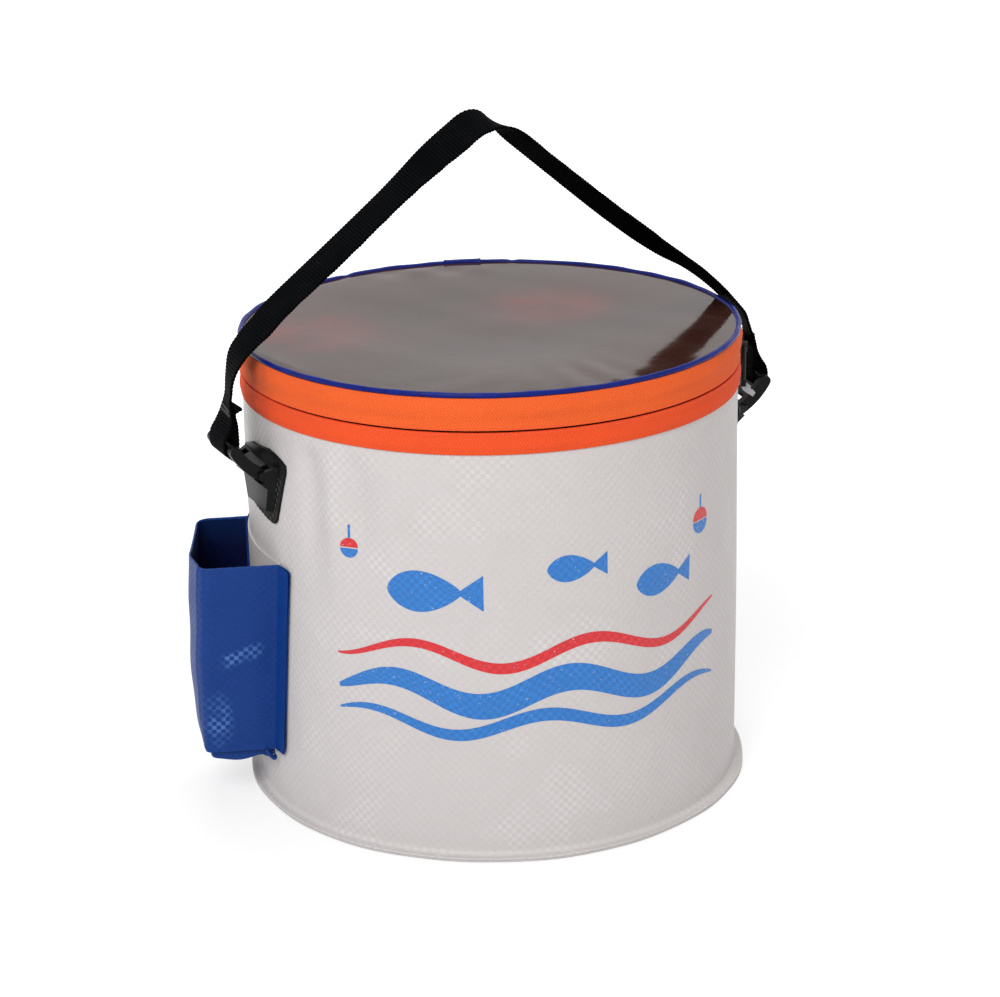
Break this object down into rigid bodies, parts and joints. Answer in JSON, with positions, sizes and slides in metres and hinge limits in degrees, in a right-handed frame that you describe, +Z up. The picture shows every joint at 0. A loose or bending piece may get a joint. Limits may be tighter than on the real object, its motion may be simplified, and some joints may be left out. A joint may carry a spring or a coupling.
{
  "type": "round zipped fishing bag",
  "caption": "round coated-fabric bait and fishing bag with a zipped clear lid, a webbing carrying strap on swinging rings and a bellows side pocket",
  "frame": {"origin": "middle of the base's underside, on the ground", "axes": "+Z up, the printed front faces -Y, +X to the right of the front"},
  "size_m": [0.3643, 0.312, 0.4129],
  "materials": {
    "wall": "embossed coated fabric",
    "wall_strip": "embossed coated fabric",
    "base": "embossed coated fabric",
    "tape": "herringbone woven tape",
    "coil": "moulded coil",
    "film": "clear smoked film",
    "piping": "smooth extruded piping",
    "slider": "black enamel",
    "grip": "light grey moulded grip",
    "anchor": "satin black moulding",
    "patch": "black coated fabric",
    "thread": "thick thread",
    "webbing": "ribbed webbing",
    "pocket": "embossed coated fabric",
    "pocket_inside": "matt coated back"
  },
  "bodies": {
    "bag": {"wall_panel": "wall", "wall_seam_strip": "wall_strip", "base_panel": "base", "zip_tape_lower": "tape", "zip_coil_lower": "coil", "zip_stops_lower": "slider", "lid_hinge_lower": "wall_strip", "pocket_panel": "pocket", "pocket_back": "pocket_inside", "pocket_base": "pocket", "anchor_patch_left": "patch", "anchor_stitching_left": "thread", "anchor_housing_left": "anchor", "anchor_patch_right": "patch", "anchor_stitching_right": "thread", "anchor_housing_right": "anchor"},
    "lid": {"lid_window": "film", "lid_piping": "piping", "piping_sleeve": "piping", "zip_tape_upper": "tape", "zip_coil_upper": "coil", "zip_stops_upper": "slider", "lid_hinge_upper": "wall_strip"},
    "slider_front": {"zip_slider_front": "slider"},
    "slider_rear": {"zip_slider_rear": "slider"},
    "pull_front": {"pull_link_front": "slider", "pull_grip_front": "grip"},
    "pull_rear": {"pull_link_rear": "slider", "pull_grip_rear": "grip"},
    "ring_left": {"strap_ring_left": "anchor", "strap_end_left": "webbing", "strap_tacks_left": "thread"},
    "ring_right": {"strap_ring_right": "anchor", "strap_end_right": "webbing", "strap_tacks_right": "thread"},
    "strap": {"strap_arch": "webbing"}
  },
  "joints": [
    {"name": "lid_hinge", "type": "hinge", "parent": "bag", "child": "lid", "pos_m": [0, 0.152, 0.262], "axis": [-1, 0, 0], "range_deg": [0, 180]},
    {"name": "slider_front_travel", "type": "hinge", "parent": "bag", "child": "slider_front", "pos_m": [0, 0, 0.262], "axis": [0, 0, 1], "range_deg": [-253.1, 0]},
    {"name": "slider_rear_travel", "type": "hinge", "parent": "bag", "child": "slider_rear", "pos_m": [0, 0, 0.262], "axis": [0, 0, 1], "range_deg": [0, 73.5]},
    {"name": "pull_front_swing", "type": "hinge", "parent": "slider_front", "child": "pull_front", "pos_m": [0.15499, -0.00704, 0.262], "axis": [-0.0454, -0.999, 0], "range_deg": [0, 150]},
    {"name": "pull_rear_swing", "type": "hinge", "parent": "slider_rear", "child": "pull_rear", "pos_m": [0.15503, 0.00599, 0.262], "axis": [0.0386, -0.9993, 0], "range_deg": [0, 150]},
    {"name": "ring_left_swing", "type": "hinge", "parent": "bag", "child": "ring_left", "pos_m": [-0.1475, -0.05079, 0.2165], "axis": [-0.3256, 0.9455, 0], "range_deg": [-24, 40], "deforming": ["strap_end_left", "strap_tacks_left"]},
    {"name": "ring_right_swing", "type": "hinge", "parent": "bag", "child": "ring_right", "pos_m": [0.15339, 0.02843, 0.2165], "axis": [0.1822, -0.9833, 0], "range_deg": [-24, 40], "deforming": ["strap_end_right", "strap_tacks_right"]},
    {"name": "strap_swing", "type": "hinge", "parent": "bag", "child": "strap", "pos_m": [0.00326, -0.01237, 0.303], "axis": [0.967, 0.2546, 0], "range_deg": [-70, 70], "deforming": ["strap_arch"]}
  ]
}
